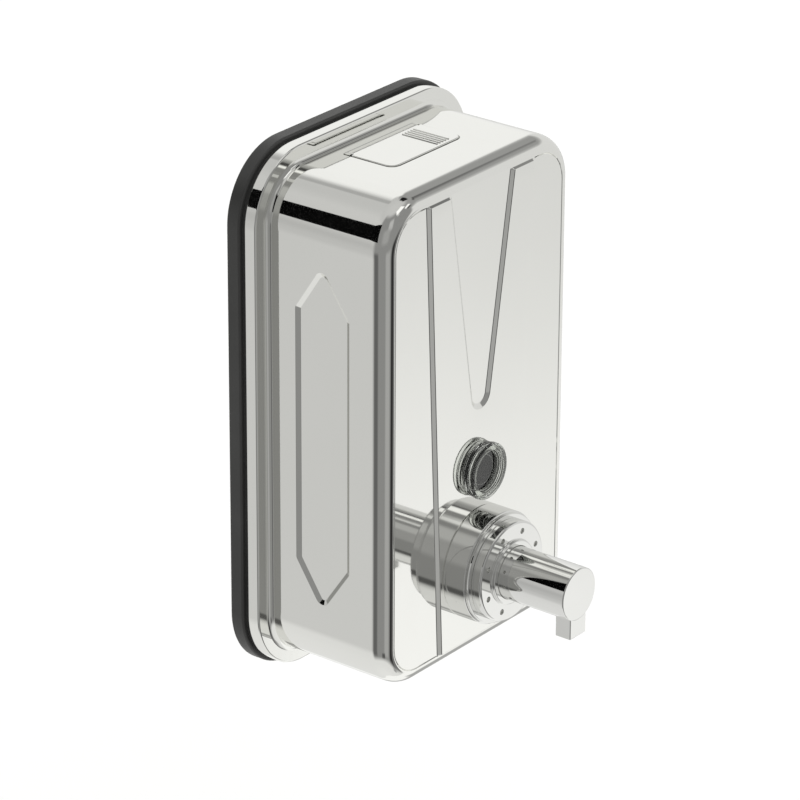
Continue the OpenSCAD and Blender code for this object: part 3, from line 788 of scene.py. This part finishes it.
# azimuth, elevation, half width, half height, softness across, softness up and down, brightness
STUDIO_AREAS = (
    (239, 11, 73, 56, 18, 14, 0.27),
    (179, -24, 10, 14, 10, 10, 0.13),
    (249, -24, 16, 14, 14, 10, 0.40),
    (290, -24, 14, 16, 14, 10, 0.03),
    (312, -24, 9, 14, 6, 10, 0.17),
    (228, -37, 10, 5, 8, 6, 0.10),
    (300, -48, 6, 5, 6, 5, 0.38),
    (6, -45, 46.5, 40, 3, 6, 1.02),
    (6, 0, 46.5, 24, 3, 8, 0.74),
    (2, 6, 54, 20, 6, 8, 0.74),
    (-8.5, 46, 46.5, 16, 6, 14, 0.33),
    (-12, 43.5, 10, 3, 8, 5, 0.11),
    (308, 41, 6, 5, 6, 6, 0.07),
    (268, 56, 5, 6, 4, 5, 0.60),
    (279, 55, 4, 5, 4, 5, 0.30),
    (234, 42, 12, 12, 10, 10, 0.50),
    (219, 22, 18, 14, 20, 12, 0.36),
    (47, 24, 15, 24, 8, 10, 0.95),
    (30, -24, 9, 8, 7, 6, 0.25),
    (10, -43, 34, 9, 10, 8, 0.42),
    (282, 64, 24, 7, 8, 4, 1.10),
    (9, 62, 18, 6, 6, 4, 0.01),
    (308, 48, 10, 4, 6, 4, 1.10),
    (71, 54, 6, 4, 5, 4, 0.42),
)


def studio_tone(tone):
    """A studio brightness as a colour, very slightly warm."""
    return (tone, tone, tone * 0.985, 1)


def studio_world():
    """Soft light and dark areas that only mirrored and transmitted rays see, and plain light otherwise."""
    world = bpy.data.worlds.new("studio")
    world.use_nodes = True
    bpy.context.scene.world = world
    tree = world.node_tree
    new, link = tree.nodes.new, tree.links.new
    out = tree.nodes["World Output"]
    direction = new("ShaderNodeTexCoord").outputs["Generated"]
    parts = new("ShaderNodeSeparateXYZ")
    link(direction, parts.inputs[0])

    def calc(kind, a, b=None):
        """A math node's result, from sockets or plain numbers."""
        n = new("ShaderNodeMath")
        n.operation = kind
        for socket, value in zip(n.inputs, (a, b)):
            if isinstance(value, (int, float)):
                socket.default_value = value
            elif value is not None:
                link(value, socket)
        return n.outputs[0]

    height = calc("MULTIPLY", calc("ARCSINE", parts.outputs["Z"]), 180 / math.pi)

    def fall(value, middle, half, soft):
        """1 near the middle of a range and 0 away from it, with soft edges."""
        r = new("ShaderNodeMapRange")
        r.interpolation_type = "SMOOTHSTEP"
        r.inputs["From Min"].default_value = half + soft / 2
        r.inputs["From Max"].default_value = half - soft / 2
        link(calc("ABSOLUTE", calc("SUBTRACT", value, middle)), r.inputs["Value"])
        return r.outputs["Result"]

    def bearing(azimuth):
        """Degrees round from an azimuth, from -180 to 180."""
        a = math.radians(azimuth)
        dots = []
        for v in ((math.cos(a), math.sin(a), 0), (-math.sin(a), math.cos(a), 0)):
            n = new("ShaderNodeVectorMath")
            n.operation = "DOT_PRODUCT"
            n.inputs[1].default_value = v
            link(direction, n.inputs[0])
            dots.append(n.outputs["Value"])
        return calc("MULTIPLY", calc("ARCTAN2", dots[1], dots[0]), 180 / math.pi)

    base = new("ShaderNodeValToRGB")
    base.color_ramp.interpolation = "EASE"
    steps = base.color_ramp.elements
    link(calc("MULTIPLY", calc("ADD", height, 90), 1 / 180), base.inputs["Fac"])
    for place, tone in STUDIO_BASE:
        e = steps.new((place + 90) / 180)
        e.color = studio_tone(tone)
    steps.remove(steps[0])
    steps.remove(steps[-1])
    colour = base.outputs["Color"]
    for azimuth, elevation, half_a, half_e, soft_a, soft_e, tone in STUDIO_AREAS:
        across = fall(bearing(azimuth), 0, half_a, soft_a)
        mask = calc("MULTIPLY", across, fall(height, elevation, half_e, soft_e))
        mix = new("ShaderNodeMix")
        mix.data_type = "RGBA"
        mix.inputs["B"].default_value = studio_tone(tone)
        link(mask, mix.inputs["Factor"])
        link(colour, mix.inputs["A"])
        colour = mix.outputs["Result"]
    mirrored = new("ShaderNodeBackground")
    link(colour, mirrored.inputs["Color"])
    plain = new("ShaderNodeBackground")
    plain.inputs["Color"].default_value = (1, 1, 0.995, 1)
    plain.inputs["Strength"].default_value = 1.12
    rays = new("ShaderNodeLightPath")
    pick = new("ShaderNodeMixShader")
    special = calc("MAXIMUM", rays.outputs["Is Glossy Ray"], rays.outputs["Is Transmission Ray"])
    link(special, pick.inputs["Fac"])
    link(plain.outputs[0], pick.inputs[1])
    link(mirrored.outputs[0], pick.inputs[2])
    link(pick.outputs[0], out.inputs["Surface"])


def flag():
    """A black card above and to the left, which only mirrored rays see."""
    left, near_right, far_right = -0.83, -0.135, -0.27
    near, far = -0.055, 0.75
    left_z, right_z = 0.253, 0.185
    corners = [(left, near, left_z), (near_right, near, right_z), (far_right, far, right_z),
               (left, far, left_z)]
    mesh = bpy.data.meshes.new("flag")
    mesh.from_pydata(corners, [], [(0, 1, 2, 3)])
    material, tree, shader = new_material("flag_black")
    cloth = spread(tree, noise(tree, 400, 3), 0, 1)
    colour = blend_colour(tree, cloth, (0.001, 0.001, 0.001), (0.002, 0.002, 0.002))
    tree.links.new(colour, shader.inputs["Base Color"])
    shader.inputs["Roughness"].default_value = 1
    shader.inputs["Specular IOR Level"].default_value = 0
    mesh.materials.append(material)
    card = bpy.data.objects.new("flag", mesh)
    bpy.context.scene.collection.objects.link(card)
    card.visible_camera = False
    card.visible_diffuse = False
    card.visible_shadow = False
    card.visible_transmission = False


def floor():
    """A wide pale floor below the object, out of sight of mirrored rays."""
    drop, half = 0.2, 40
    z = CAD_BOX[0][2] - drop
    mesh = bpy.data.meshes.new("floor")
    corners = [(-half, -half, z), (half, -half, z), (half, half, z), (-half, half, z)]
    mesh.from_pydata(corners, [], [(0, 1, 2, 3)])
    mesh.materials.append(pale_floor())
    plane = bpy.data.objects.new("floor", mesh)
    bpy.context.scene.collection.objects.link(plane)
    plane.visible_glossy = False
    plane.visible_transmission = False


# the camera's turn round the object, its pitch and its roll in degrees, its place in metres and its lens
CAMERA_TURN = (-52.198, 23.900, 0.289)
CAMERA_AT = (-1.31293, -1.05015, 0.73113)
SENSOR, FOCAL = 36, 204.517


def camera():
    """The camera: 52.2 degrees round to the left, 23.9 degrees up, with a hair of roll."""
    azimuth, pitch, roll = (math.radians(v) for v in CAMERA_TURN)
    right = Vector((math.cos(azimuth), math.sin(azimuth), 0))
    level = Vector((math.sin(azimuth), -math.cos(azimuth), 0))
    back = level * math.cos(pitch) + Vector((0, 0, math.sin(pitch)))
    up = back.cross(right)
    x = math.cos(roll) * right + math.sin(roll) * up
    y = -math.sin(roll) * right + math.cos(roll) * up
    data = bpy.data.cameras.new("camera")
    data.sensor_width = SENSOR
    data.lens = FOCAL
    data.clip_end = 100
    eye = bpy.data.objects.new("camera", data)
    bpy.context.scene.collection.objects.link(eye)
    turn = Matrix((x, y, back)).transposed().to_4x4()
    turn.translation = Vector(CAMERA_AT)
    eye.matrix_world = turn
    bpy.context.scene.camera = eye


# ---------------------------------------------------------------- build
bpy.context.scene.view_settings.view_transform = "Standard"

steel, chrome, fitting = polished_steel(), chrome_plate(), plain_steel()
black = moulded("black_plastic", (0.022, 0.022, 0.021), (0.03, 0.03, 0.029), 0.42, 1500, 0.12)
grey = moulded("grey_plastic", (0.30, 0.31, 0.32), (0.26, 0.27, 0.28), 0.45, 900, 0.1)
seal = moulded("seal_rubber", (0.03, 0.03, 0.03), (0.045, 0.045, 0.044), 0.7, 1200, 0.2)
milky, lens = natural_plastic(), clear_plastic()

case_shell(steel)
filler_lid(steel)
wall_plate(black)
window(lens)
collar(chrome)
bead(chrome)
cap(chrome)
nozzle(chrome)

SLOT_MATERIAL = {
    "case_steel": steel,
    "fitting_steel": fitting,
    "chromed": chrome,
    "grey_plastic": grey,
    "milky_plastic": milky,
    "seal_rubber": seal,
    "lens_plastic": lens,
    "black_plastic": black,
}
for part in frame["record"]["subparts"]:
    node = frame["nodes"][part["node"]]
    node.data.materials.clear()
    node.data.materials.append(SLOT_MATERIAL[part["material_slot"]])

studio_world()
flag()
floor()
camera()
